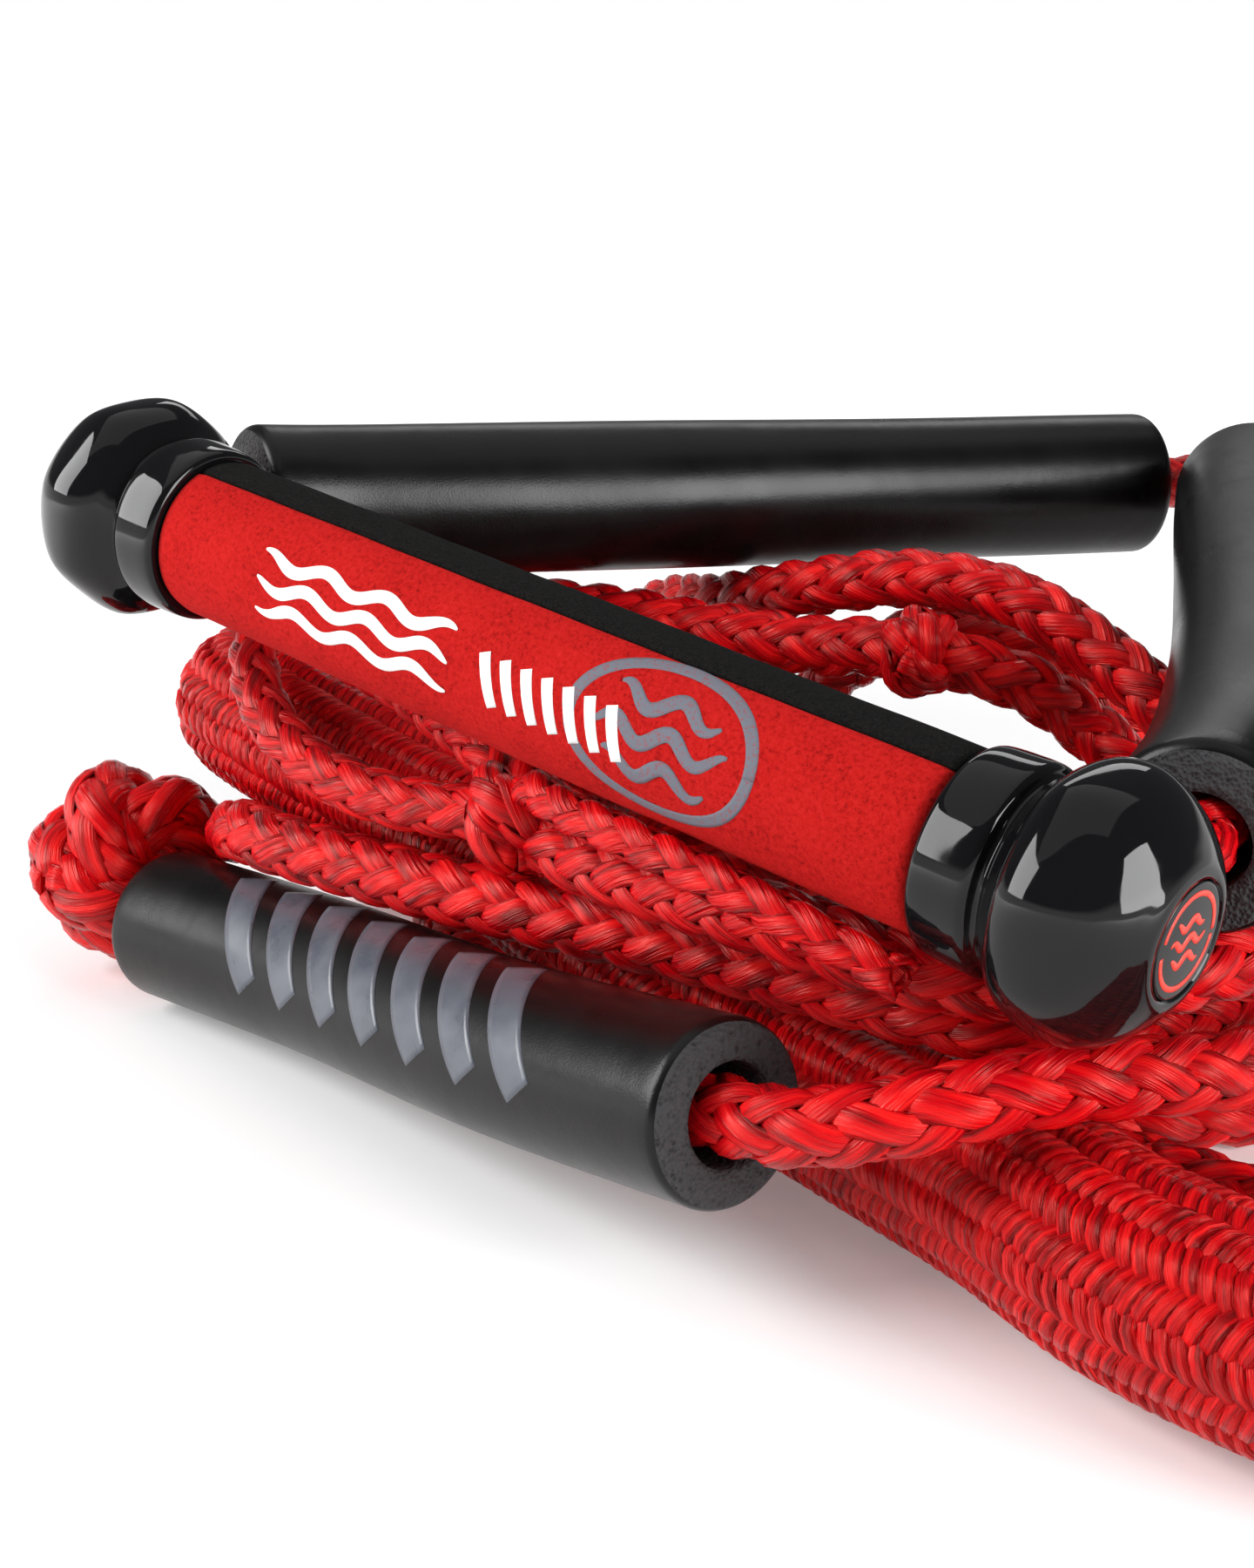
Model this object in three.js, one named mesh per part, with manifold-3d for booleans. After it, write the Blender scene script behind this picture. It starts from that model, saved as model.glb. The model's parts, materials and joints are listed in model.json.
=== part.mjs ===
// A wakesurf tow rope with its handle, laid down as a hank: the handle bar and its foam-covered bridle lie on top of
// the coiled rope, and a foam float with a stopper knot closes the far end of the rope.
// Frame: millimetres, +Z up, the floor at z = 0. +X runs along the handle towards its lower (right) end and +Y from
// the handle towards the bridle's apex.
import * as THREE from "three";
import Module from "manifold-3d";
import { mergeVertices } from "three/addons/utils/BufferGeometryUtils.js";

const wasm = await Module();
wasm.setup();

// --- driving dimensions, mm -------------------------------------------------------------------------------------
const GAP = 0.3; // between pieces that touch
const GRIP_LENGTH = 170; // the red grip between the two end caps
const GRIP_R = 15; // outside of the grip's cover
const COVER = 0.9; // thickness of the grip's cover
const BAR_R = 11; // aluminium tube, outside
const BAR_BORE_R = 9;
const BAR_IN_CAP = 9; // length of tube inside each cap
const STRIP_FROM = -22; // black strip of the grip, degrees about the bar: 0 is the top, positive towards +Y
const STRIP_TO = 58;
const BAR_CENTRE = [0, 0, 87.9];
const BAR_TILT = 9.18; // the handle's right end lies lower, degrees
const CAP_LENGTH = 37.2; // collar, neck and ball of an end cap
const CAP_HOLE_AT = 21; // where the rope enters the ball, from the grip's end
const BADGE_R = 9;
const ROPE_R = 6.5; // 13 mm hollow braid
const WOVEN_R = 17; // thick hand-woven section
const FOAM_R = 16; // foam tubes of the bridle
const FLOAT_R = 15.3;
const FOAM_BORE_R = 8.2;
const FOAM_ROUND = 2.5; // rounding of the foam's end faces
const FLOAT_BORE_R = 8.6;
const HANK = { x: 0, y: 104, straight: 55, out: 61, inside: 23, height: 27.7, edge: 4 };

// --- routes: points along the centre lines, mm --------------------------------------------------------------------
const LEFT_ARM = [[-107.5, 27, 102.2], [-102.2, 41, 101.2], [-83, 75.5, 99.9], [-57, 121.5, 98.2], [-32, 167, 96.6], [-6, 213, 95]];
const RIGHT_ARM = [[107.5, 27.5, 73.6], [101, 53, 77], [85, 92, 82], [60, 141, 88.5], [38, 182, 94], [25, 207, 97]];
const FLOAT_LINE = [[-112, 5, 16.6], [-60, 1, 18.6], [0, -11, 23.6], [58, -22, 31.4]];
const APEX = [16, 241, 95];
const FRONT_KNOT = [-14, 6, 61];
const REAR_KNOT = [7, 103, 75];
const STOPPER = [-132.5, 11, 23];
const WOVEN = [
  [-18, 103, 46], [-55, 99, 46], [-90, 89, 47.5], [-116, 74, 51], [-131, 54, 54], [-125, 41, 54.8], [-101, 34.8, 51.6],
  [-64, 31, 45.5], [-30, 29, 40.5], [0, 26, 30], [30, 21, 22.5], [60, 17, 18.2], [90, 8, 18], [120, -4, 18],
  [150, -8, 18], [165, -6, 18],
];
const FRONT_RUN = [
  [-121, 86, 8], [-131, 70, 12], [-131, 52, 19], [-120, 36, 27], [-106, 19.5, 33.7], [-92, 8.5, 40], [-76, 3.5, 41.8],
  [-60, 3, 42], [-29, 3.2, 42.4], [0, 5, 42.7], [30, 8, 42.8], [62, 10, 42.5], [84, 18, 40.5], [98, 36, 38], [104, 62, 38],
  [97, 88, 39.5], [79, 105, 43], [60, 117, 46.5], [44, 126, 52], [32, 127, 59], [22.8, 119.2, 67.5],
  [14.3, 110.7, 72],
];
const EYE_RUN = [
  [-3.9, 102.9, 74.5], [-16, 102, 73], [-40, 97, 73.5], [-62, 93, 74.5], [-82, 86, 75.5], [-100, 74, 77],
  [-111, 56, 78], [-110, 38, 77.2], [-101, 22, 73.2], [-88, 12.5, 66], [-70, 6.5, 59.5], [-48, 4.5, 56.5],
  [-26, 5.2, 57.4],
];
const EYE_TAIL = [[-74, 24, 75], [-60, 21, 73.5], [-42, 16.5, 70.5], [-24, 11, 66.8]];
const TOP_RUN = [
  [-2.4, 4.2, 56.8], [8, 2, 55.8], [25, -1, 55.2], [53, -3, 53], [80, 3, 51], [98, 19, 50.5], [109, 45, 51.5],
  [109, 72, 52.5], [99, 94, 55], [82, 108, 58.5], [62, 115, 63], [42, 119, 73], [20, 119, 82.5], [-4, 117, 84.5],
  [-32, 115, 80.5], [-58, 121, 74], [-84, 134, 68], [-105, 140, 58], [-120, 134, 43], [-128, 119, 28],
  [-126, 104, 16],
];
const SPLICE_TAIL = [[-3.6, 0.4, 66.6], [8, -4.5, 66.6], [30, -8.5, 65.2], [56, -10.3, 61.2], [80, -9.5, 55.5]];
const TAIL_RUN = [
  [-111.6, 5, 16.6], [-60, 1, 18.6], [0, -11, 23.6], [58, -22, 31.4], [72, -23.5, 34],
  [86, -18, 38], [97, -8, 41.5], [107, 6, 42], [118, 30, 39.5], [120, 58, 38], [117, 84, 37], [110, 108, 36],
  [100, 129, 34.9],
];
const LEAD = [
  [-3, 104.6, 46], [3, 105.2, 46], [13, 110, 45.5], [22, 118, 44], [34, 134, 40], [46, 152, 37.5], [64, 168, 38], [80, 186, 46],
  [77, 212, 64], [54, 235, 82], [40, 242, 91], [30, 242.5, 94],
];
const LINK = [
  [179.6, -4, 18], [185, -3.2, 17.8], [196, 2, 13.5], [200, 16, 9.5], [192, 32, 7.6], [173, 43, 7.2], [148, 48.5, 7.2],
  [120, 49.7, 7.2], [94, 49.7, 7.2],
];

// --- geometry helpers ---------------------------------------------------------------------------------------------
const vec = (p) => new THREE.Vector3(...p);
const curveOf = (points) => new THREE.CatmullRomCurve3(points.map(vec));

// A round bar or sleeve along a curve. radius(s, length) gives the outside; bore > 0 leaves a through hole.
function sweep(points, radius, { sides = 8, pitch = 17, bore = 0, round = 0 } = {}) {
  const curve = curveOf(points);
  const length = curve.getLength();
  const count = Math.max(2, Math.round(length / pitch));
  const ends = round ? [0.3 * round, round] : [];
  const at = Array.from({ length: count + 1 }, (_, i) => (i * length) / count)
    .filter((s) => !round || s === 0 || s >= length - 1e-6 || (s > round + 2 && s < length - round - 2))
    .concat(ends, ends.map((e) => length - e))
    .sort((a, b) => a - b);
  const outside = (s) => {
    const edge = Math.max(0, Math.min(s, length - s));
    return radius(s, length) - (edge < round ? round - Math.sqrt(round * round - (round - edge) ** 2) : 0);
  };
  const position = [];
  const normal = new THREE.Vector3(0.1, 0.2, 1);
  for (const s of at) {
    const u = Math.min(s / length, 1);
    const tangent = curve.getTangentAt(u);
    normal.addScaledVector(tangent, -normal.dot(tangent)).normalize();
    const side = new THREE.Vector3().crossVectors(tangent, normal);
    const centre = curve.getPointAt(u);
    for (const r of bore ? [outside(s), bore] : [outside(s)])
      for (let k = 0; k < sides; k++) {
        const a = (2 * Math.PI * k) / sides;
        const p = centre.clone().addScaledVector(normal, r * Math.cos(a)).addScaledVector(side, r * Math.sin(a));
        position.push(p.x, p.y, p.z);
      }
  }
  const rings = bore ? 2 : 1;
  const id = (i, ring, k) => (i * rings + ring) * sides + (k % sides);
  const index = [];
  const quad = (a, b, c, d) => index.push(a, b, c, a, c, d);
  const last = at.length - 1;
  for (let i = 0; i < last; i++)
    for (let k = 0; k < sides; k++) {
      quad(id(i, 0, k), id(i, 0, k + 1), id(i + 1, 0, k + 1), id(i + 1, 0, k));
      if (bore) quad(id(i, 1, k + 1), id(i, 1, k), id(i + 1, 1, k), id(i + 1, 1, k + 1));
    }
  for (let k = 0; k < sides; k++)
    if (bore) {
      quad(id(0, 1, k), id(0, 1, k + 1), id(0, 0, k + 1), id(0, 0, k));
      quad(id(last, 0, k), id(last, 0, k + 1), id(last, 1, k + 1), id(last, 1, k));
    } else if (k > 1) {
      index.push(id(0, 0, 0), id(0, 0, k), id(0, 0, k - 1));
      index.push(id(last, 0, 0), id(last, 0, k - 1), id(last, 0, k));
    }
  return new THREE.BufferGeometry()
    .setAttribute("position", new THREE.Float32BufferAttribute(position, 3))
    .setIndex(index);
}

// A solid of revolution about X: profile is [along, radius] pairs of a closed outline.
const revolve = (profile, sides) =>
  new THREE.LatheGeometry([...profile, profile[0]].map(([x, r]) => new THREE.Vector2(r, x)), sides)
    .rotateZ(-Math.PI / 2);

// A cylinder or cone along +Y, from y0 (radius r0) to y1 (radius r1).
const spigot = (r0, r1, y0, y1, sides = 24) =>
  new THREE.CylinderGeometry(r1, r0, y1 - y0, sides).translate(0, (y0 + y1) / 2, 0);

function solid(geometry) {
  const g = geometry.clone();
  g.deleteAttribute("normal");
  g.deleteAttribute("uv");
  const merged = mergeVertices(g, 1e-4);
  return new wasm.Manifold(
    new wasm.Mesh({
      numProp: 3,
      vertProperties: merged.attributes.position.array,
      triVerts: new Uint32Array(merged.index.array),
    }),
  );
}

function cut(base, ...tools) {
  const mesh = tools.reduce((left, tool) => left.subtract(solid(tool)), solid(base)).getMesh();
  return new THREE.BufferGeometry()
    .setAttribute("position", new THREE.Float32BufferAttribute(mesh.vertProperties, 3))
    .setIndex([...mesh.triVerts]);
}

const materials = {
  aluminium: { color: 0xb9bcc0, metalness: 1, roughness: 0.35 },
  nylon: { color: 0x202020, roughness: 0.5 },
  foam: { color: 0x26272a, roughness: 0.85 },
  whiteFoam: { color: 0xdcdcd6, roughness: 0.9 },
  redCover: { color: 0xd0231f, roughness: 0.9 },
  blackCover: { color: 0x1c1c1d, roughness: 0.95 },
  capRubber: { color: 0x0a0a0b, roughness: 0.12 },
  badge: { color: 0xc8332c, roughness: 0.4 },
  rope: { color: 0xd8141c, roughness: 0.45 },
};
const made = Object.fromEntries(
  Object.entries(materials).map(([name, values]) => [name, new THREE.MeshStandardMaterial(values)]),
);

const root = new THREE.Group();
function add(name, geometry, material, parent = root) {
  const mesh = new THREE.Mesh(geometry, made[material]);
  mesh.name = name;
  parent.add(mesh);
}

// --- handle bar, built along X about its own centre ---------------------------------------------------------------
function sector(from, to, length) {
  const outer = GRIP_R;
  const inner = GRIP_R - COVER;
  const rad = THREE.MathUtils.degToRad;
  const shape = new THREE.Shape();
  shape.absarc(0, 0, outer, rad(from), rad(to), false);
  shape.absarc(0, 0, inner, rad(to), rad(from), true);
  const steps = Math.max(6, Math.round((to - from) / 12));
  return new THREE.ExtrudeGeometry(shape, { depth: length, bevelEnabled: false, curveSegments: steps })
    .translate(0, 0, -length / 2)
    .rotateY(Math.PI / 2)
    .rotateX(Math.PI / 2);
}

// The end cap, turned about X with the grip at x = 0 and the ball outwards.
function capGeometry() {
  const outline = [
    [GAP, 11.6], [GAP, 15.6], [1.1, 16.5], [9.6, 16.9], [10.8, 16.3], [11.6, 15.2], [12.8, 15.2], [13.8, 16.6],
    [15.5, 18.2], [18, 19.7], [21.2, 20.4], [24.8, 20.1], [28.4, 18.7], [32, 16.1], [34.8, 13.3], [36.4, 11.6],
    [CAP_LENGTH, 10.4], [CAP_LENGTH, 0], [GAP, 0],
  ];
  const body = revolve(outline, 28);
  const socket = spigot(BAR_R + GAP, BAR_R + GAP, -1, BAR_IN_CAP + GAP, 24).rotateZ(-Math.PI / 2);
  const recess = spigot(BADGE_R + GAP, BADGE_R + GAP, CAP_LENGTH - 1, CAP_LENGTH + 1, 24).rotateZ(-Math.PI / 2);
  const pocket = spigot(8.9, 8.9, -11.6, -1.7, 20).translate(CAP_HOLE_AT, 0, 0);
  const mouth = spigot(7.4, 11, -2.4, 21, 20).translate(CAP_HOLE_AT, 0, 0);
  return cut(body, socket, recess, pocket, mouth);
}

const handle = new THREE.Group();
handle.position.set(...BAR_CENTRE);
handle.rotation.y = THREE.MathUtils.degToRad(BAR_TILT);
root.add(handle);

function buildHandle() {
  const half = GRIP_LENGTH / 2;
  const ring = (a, b, r0, r1, sides = 24) => revolve([[a, r0], [a, r1], [b, r1], [b, r0]], sides);
  const tubeEnd = half + BAR_IN_CAP;
  add("bar_tube", ring(-tubeEnd, tubeEnd, BAR_BORE_R, BAR_R), "aluminium", handle);
  const rod = (a, b, r) => spigot(r, r, a, b, 20).rotateZ(-Math.PI / 2);
  add("bar_core", rod(-tubeEnd + 18, tubeEnd - 18, BAR_BORE_R - GAP), "whiteFoam", handle);
  add("grip_core", ring(-half + GAP, half - GAP, BAR_R + GAP, GRIP_R - COVER - GAP), "foam", handle);
  const long = GRIP_LENGTH - 2 * GAP;
  const seam = 1.2; // degrees left open at each edge of the strip
  add("grip_wrap", sector(-90 + STRIP_TO + seam, 270 + STRIP_FROM - seam, long), "redCover", handle);
  add("grip_strip", sector(-90 + STRIP_FROM + seam, -90 + STRIP_TO - seam, long), "blackCover", handle);
  for (const [name, turn] of [["left", Math.PI], ["right", 0]]) {
    const side = name === "right" ? 1 : -1;
    const end = new THREE.Group();
    end.position.x = side * half;
    if (side < 0) end.scale.x = -1;
    handle.add(end);
    add("end_cap_" + name, capGeometry(), "capRubber", end);
    add("cap_badge_" + name, rod(CAP_LENGTH - 0.7, CAP_LENGTH, BADGE_R), "badge", end);
    add("bar_plug_" + name, rod(BAR_IN_CAP - 17, BAR_IN_CAP - 0.5, BAR_BORE_R - GAP), "nylon", end);
    add("anchor_stop_" + name, spigot(8.5, 8.5, -11.2, -2, 20).translate(CAP_HOLE_AT, 0, 0), "nylon", end);
  }
}
buildHandle();

// --- bridle: a rope in a foam tube from each cap to the apex knot -------------------------------------------------
const plain = (r) => () => r;
const capHole = (side) => {
  const p = vec([side * (GRIP_LENGTH / 2 + CAP_HOLE_AT), 0, 0]);
  return p.applyEuler(handle.rotation).add(handle.position).toArray();
};

function buildBridle() {
  const foam = { sides: 14, pitch: 24, bore: FOAM_BORE_R, round: FOAM_ROUND };
  const arms = { left: [LEFT_ARM, -1, [7.2, 230.8, 95]], right: [RIGHT_ARM, 1, [21.3, 228, 96.5]] };
  for (const [name, [arm, side, last]] of Object.entries(arms)) {
    const [x, , z] = capHole(side);
    const mouth = arm[0];
    const along = curveOf(arm).getTangentAt(0);
    const onArm = (s) => vec(mouth).addScaledVector(along, s).toArray();
    const stub = [[x, -1.6, z], [x, 6, z], [x + 0.8 * side, 13, (2 * z + mouth[2]) / 3], onArm(-5), onArm(-0.5)];
    add("bridle_stub_" + name, sweep(stub, plain(ROPE_R), { pitch: 9 }), "rope");
    const inner = onArm(0.5);
    add("bridle_rope_" + name, sweep([inner, ...arm.slice(1), last], plain(ROPE_R), { pitch: 22 }), "rope");
    add("bridle_foam_" + name, sweep(arm, plain(FOAM_R), foam), "foam");
  }
  add("apex_knot", knotBall(13), "rope");
  root.children.at(-1).geometry.translate(...APEX);
}

// A tied knot as one rounded body.
const knotBall = (r) => new THREE.SphereGeometry(r, 14, 10);

// --- rope -----------------------------------------------------------------------------------------------------------
function buildRope() {
  const rope = plain(ROPE_R);
  const knot = (name, r, at) => add(name, knotBall(r).translate(...at), "rope");
  const taper = (from, to) => (s, length) => from + (to - from) * (s / length);
  add("woven_section", sweep(WOVEN, plain(WOVEN_R), { sides: 12, pitch: 15 }), "rope");
  add("woven_whip_rear", sweep([[-17.6, 103.1, 46], [-3.6, 104.5, 46]], taper(15, 7.5), { sides: 12 }), "rope");
  add("woven_whip_front", sweep([[165.5, -5.9, 18], [179, -4.1, 18]], taper(15, 7.5), { sides: 12 }), "rope");
  add("lead_rope", sweep(LEAD, rope), "rope");
  add("link_rope", sweep(LINK, rope), "rope");
  add("front_run", sweep(FRONT_RUN, rope), "rope");
  knot("rear_knot", 10, REAR_KNOT);
  add("eye_run", sweep(EYE_RUN, rope, { pitch: 13 }), "rope");
  add("eye_tail", sweep(EYE_TAIL, plain(5)), "rope");
  knot("front_knot", 10, FRONT_KNOT);
  add("top_run", sweep(TOP_RUN, rope), "rope");
  add("splice_tail", sweep(SPLICE_TAIL, plain(4)), "rope");
  add("tail_run", sweep(TAIL_RUN, rope), "rope");
  knot("stopper_knot", 19.6, STOPPER);
  const float = { sides: 16, pitch: 24, bore: FLOAT_BORE_R, round: FOAM_ROUND };
  add("tail_float", sweep(FLOAT_LINE, plain(FLOAT_R), float), "foam");
}

// The lower turns of the rope, as one ring of their outer shape: a racetrack in plan with rounded edges.
function buildHank() {
  const { x, y, straight, out, inside, height, edge } = HANK;
  const track = (path, r) => {
    path.absarc(straight, 0, r, -Math.PI / 2, Math.PI / 2, false);
    path.absarc(-straight, 0, r, Math.PI / 2, (3 * Math.PI) / 2, false);
    path.closePath();
    return path;
  };
  const shape = track(new THREE.Shape(), out - edge);
  shape.holes.push(track(new THREE.Path(), inside + edge));
  const bevel = { bevelEnabled: true, bevelThickness: edge, bevelSize: edge, bevelSegments: 2, curveSegments: 12 };
  const ring = new THREE.ExtrudeGeometry(shape, { depth: height - 2 * edge, ...bevel });
  add("rope_hank", ring.translate(x, y, edge), "rope");
}

buildBridle();
buildRope();
buildHank();

// The part's origin is the middle of its footprint, on the floor.
const extent = new THREE.Box3().setFromObject(root, true);
const middle = extent.getCenter(new THREE.Vector3());
root.position.set(-middle.x, -middle.y, -extent.min.z);
export default root;
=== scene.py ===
"""The looks of a tow rope handle lying on its coiled rope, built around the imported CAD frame.

Lengths in this script are millimetres in the CAD's build frame, whose origin is on the floor under the
middle of the handle bar. place() takes them to the row frame, in metres.
"""

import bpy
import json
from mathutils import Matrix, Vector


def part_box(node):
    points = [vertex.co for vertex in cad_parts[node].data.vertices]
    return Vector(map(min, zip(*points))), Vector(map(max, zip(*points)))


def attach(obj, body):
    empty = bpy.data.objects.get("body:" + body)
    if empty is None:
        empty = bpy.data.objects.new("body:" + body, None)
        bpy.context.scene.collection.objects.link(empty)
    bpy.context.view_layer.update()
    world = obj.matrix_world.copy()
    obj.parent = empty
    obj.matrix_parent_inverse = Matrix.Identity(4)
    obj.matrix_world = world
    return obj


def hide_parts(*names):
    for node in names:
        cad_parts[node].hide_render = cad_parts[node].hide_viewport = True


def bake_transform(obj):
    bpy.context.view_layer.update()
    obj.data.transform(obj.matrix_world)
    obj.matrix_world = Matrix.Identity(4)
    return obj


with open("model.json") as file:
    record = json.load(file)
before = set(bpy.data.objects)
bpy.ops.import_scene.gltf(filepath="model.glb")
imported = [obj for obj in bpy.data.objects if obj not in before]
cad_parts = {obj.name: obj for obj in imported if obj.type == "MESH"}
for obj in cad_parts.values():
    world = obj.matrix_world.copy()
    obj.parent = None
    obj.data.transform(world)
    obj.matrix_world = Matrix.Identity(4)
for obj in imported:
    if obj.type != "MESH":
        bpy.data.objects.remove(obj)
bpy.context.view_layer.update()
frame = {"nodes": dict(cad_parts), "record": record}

import json
import math

import bpy
import numpy as np
from mathutils import Matrix, Vector

# --- sizes shared with the CAD, mm ----------------------------------------------------------------
GRIP_LENGTH = 170.0
GRIP_R = 15.0
COVER = 0.9
STRIP_FROM, STRIP_TO = -22.0, 58.0  # degrees from the bar's top, positive towards the apex
BAR_CENTRE = np.array([0.0, 0.0, 87.9])
BAR_TILT = math.radians(9.18)
CAP_LENGTH = 37.2
CAP_HOLE_AT = 21.0
BADGE_R = 8.9  # 0.1 mm less than the CAD's disc
ROPE_R = 6.5
WOVEN_R = 17.0
FOAM_R = 16.0
FLOAT_R = 15.3
FOAM_BORE_R = 8.2
FLOAT_BORE_R = 8.6

# --- routes along the centre lines, mm ------------------------------------------------------------
# These are the CAD's routes and places, with two differences. TOP_RUN rides up to 3.2 mm off its CAD tube,
# below the grip and behind the handle. FRONT_KNOT and STOPPER are up to 3 mm off the middles of the CAD balls.
LEFT_ARM = [
    [-107.5, 27, 102.2], [-102.2, 41, 101.2], [-83, 75.5, 99.9], [-57, 121.5, 98.2], [-32, 167, 96.6],
    [-6, 213, 95],
]
RIGHT_ARM = [
    [107.5, 27.5, 73.6], [101, 53, 77], [85, 92, 82], [60, 141, 88.5], [38, 182, 94], [25, 207, 97],
]
FLOAT_LINE = [[-112, 5, 16.6], [-60, 1, 18.6], [0, -11, 23.6], [58, -22, 31.4]]
APEX = [16, 241, 95]
FRONT_KNOT = [-11.5, 5, 59.5]
REAR_KNOT = [7, 103, 75]
STOPPER = [-131.5, 11, 24.6]
WOVEN = [
    [-18, 103, 46], [-55, 99, 46], [-90, 89, 47.5], [-116, 74, 51], [-131, 54, 54], [-125, 41, 54.8],
    [-101, 34.8, 51.6], [-64, 31, 45.5], [-30, 29, 40.5], [0, 26, 30], [30, 21, 22.5], [60, 17, 18.2],
    [90, 8, 18], [120, -4, 18], [150, -8, 18], [165, -6, 18],
]
FRONT_RUN = [
    [-121, 86, 8], [-131, 70, 12], [-131, 52, 19], [-120, 36, 27], [-106, 19.5, 33.7], [-92, 8.5, 40],
    [-76, 3.5, 41.8], [-60, 3, 42], [-29, 3.2, 42.4], [0, 5, 42.7], [30, 8, 42.8], [62, 10, 42.5],
    [84, 18, 40.5], [98, 36, 38], [104, 62, 38], [97, 88, 39.5], [79, 105, 43], [60, 117, 46.5],
    [44, 126, 52], [32, 127, 59], [22.8, 119.2, 67.5], [14.3, 110.7, 72],
]
EYE_RUN = [
    [-3.9, 102.9, 74.5], [-16, 102, 73], [-40, 97, 73.5], [-62, 93, 74.5], [-82, 86, 75.5],
    [-100, 74, 77], [-111, 56, 78], [-110, 38, 77.2], [-101, 22, 73.2], [-88, 12.5, 66],
    [-70, 6.5, 59.5], [-48, 4.5, 56.5], [-26, 5.2, 57.4],
]
EYE_TAIL = [[-74, 24, 75], [-60, 21, 73.5], [-42, 16.5, 70.5], [-24, 11, 66.8]]
TOP_RUN = [
    [-2.4, 4.2, 56.8], [8, 2, 55.8], [25, -1, 56.2], [53, -3, 56.2], [80, 3, 52.4], [98, 19, 51],
    [109, 45, 51.5], [109, 72, 52.5], [99, 94, 55], [82, 108, 60], [62, 115, 65], [42, 119, 75],
    [20, 119, 84.6], [-4, 117, 86.5], [-32, 115, 81], [-58, 121, 74], [-84, 134, 68], [-105, 140, 58],
    [-120, 134, 43], [-128, 119, 28], [-126, 104, 16],
]
SPLICE_TAIL = [[-3.6, 0.4, 66.6], [8, -4.5, 66.6], [30, -8.5, 65.2], [56, -10.3, 61.2], [80, -9.5, 55.5]]
TAIL_RUN = [
    [-111.6, 5, 16.6], [-60, 1, 18.6], [0, -11, 23.6], [58, -22, 31.4], [72, -23.5, 34], [86, -18, 38],
    [97, -8, 41.5], [107, 6, 42], [118, 30, 39.5], [120, 58, 38], [117, 84, 37], [110, 108, 36],
    [100, 129, 34.9],
]
LEAD = [
    [-3, 104.6, 46], [3, 105.2, 46], [13, 110, 45.5], [22, 118, 44], [34, 134, 40], [46, 152, 37.5],
    [64, 168, 38], [80, 186, 46], [77, 212, 64], [54, 235, 82], [40, 242, 91], [30, 242.5, 94],
]
LINK = [
    [179.6, -4, 18], [185, -3.2, 17.8], [196, 2, 13.5], [200, 16, 9.5], [192, 32, 7.6], [173, 43, 7.2],
    [148, 48.5, 7.2], [120, 49.7, 7.2], [94, 49.7, 7.2],
]

low, high = (np.array(c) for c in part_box("apex_knot"))
SHIFT = (low + high) / 2 * 1000 - np.array(APEX)


def place(points):
    return (np.asarray(points, float) + SHIFT) / 1000


def unit(v):
    return v / np.linalg.norm(v, axis=-1, keepdims=True)


# --- camera, light and floor ----------------------------------------------------------------------
VIEW_AZIMUTH, VIEW_ELEVATION = math.radians(40.68), math.radians(16.0)
CAMERA_AT = [261.4, -283.1, 179.0]
RIGHT = np.array([math.cos(VIEW_AZIMUTH), math.sin(VIEW_AZIMUTH), 0.0])
BACK = np.array([math.sin(VIEW_AZIMUTH), -math.cos(VIEW_AZIMUTH), 0.0])  # from the object towards the camera


def make_camera():
    data = bpy.data.cameras.new("camera")
    data.lens, data.sensor_width, data.sensor_fit = 67.25, 36.0, "HORIZONTAL"
    data.clip_start, data.clip_end = 0.02, 50
    camera = bpy.data.objects.new("camera", data)
    bpy.context.scene.collection.objects.link(camera)
    forward = -BACK * math.cos(VIEW_ELEVATION) - np.array([0, 0, math.sin(VIEW_ELEVATION)])
    up = np.cross(RIGHT, forward)
    turn = Matrix([[RIGHT[i], up[i], -forward[i]] for i in range(3)]).to_4x4()
    camera.matrix_world = Matrix.Translation(Vector(place(CAMERA_AT))) @ turn
    bpy.context.scene.camera = camera


# name, metres to the camera's right and towards it, height, width and breadth of the light, watts
SOFTBOXES = [
    ("softbox_left", -1.12, 0.15, 0.62, 0.75, 0.85, 18),
    ("softbox_right", 0.82, 0.85, 0.42, 0.6, 0.7, 16),
    ("softbox_top", -0.1, -0.1, 1.7, 2.4, 2.0, 8),
    ("softbox_rear", 0.2, -1.3, 0.9, 1.0, 0.25, 2),
]
LIGHTS_AIM_AT = (0, 0.05, 0.04)
# The sky's colour by the sine of the height: white low down and grey above.
SKY = [(0.07, (1, 1, 1, 1)), (0.18, (0.10, 0.10, 0.105, 1))]
FLOOR_CORNERS = [(-9, -4), (9, -4), (9, 12), (-9, 12)]  # metres to the camera's right, and away from it


def make_softbox(name, right, back, height, width, tall, power):
    data = bpy.data.lights.new(name, "AREA")
    data.shape, data.size, data.size_y, data.energy = "RECTANGLE", width, tall, power
    lamp = bpy.data.objects.new(name, data)
    bpy.context.scene.collection.objects.link(lamp)
    lamp.location = Vector(RIGHT * right + BACK * back + np.array([0, 0, height]))
    lamp.rotation_euler = (Vector(LIGHTS_AIM_AT) - lamp.location).to_track_quat("-Z", "Y").to_euler()


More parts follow.
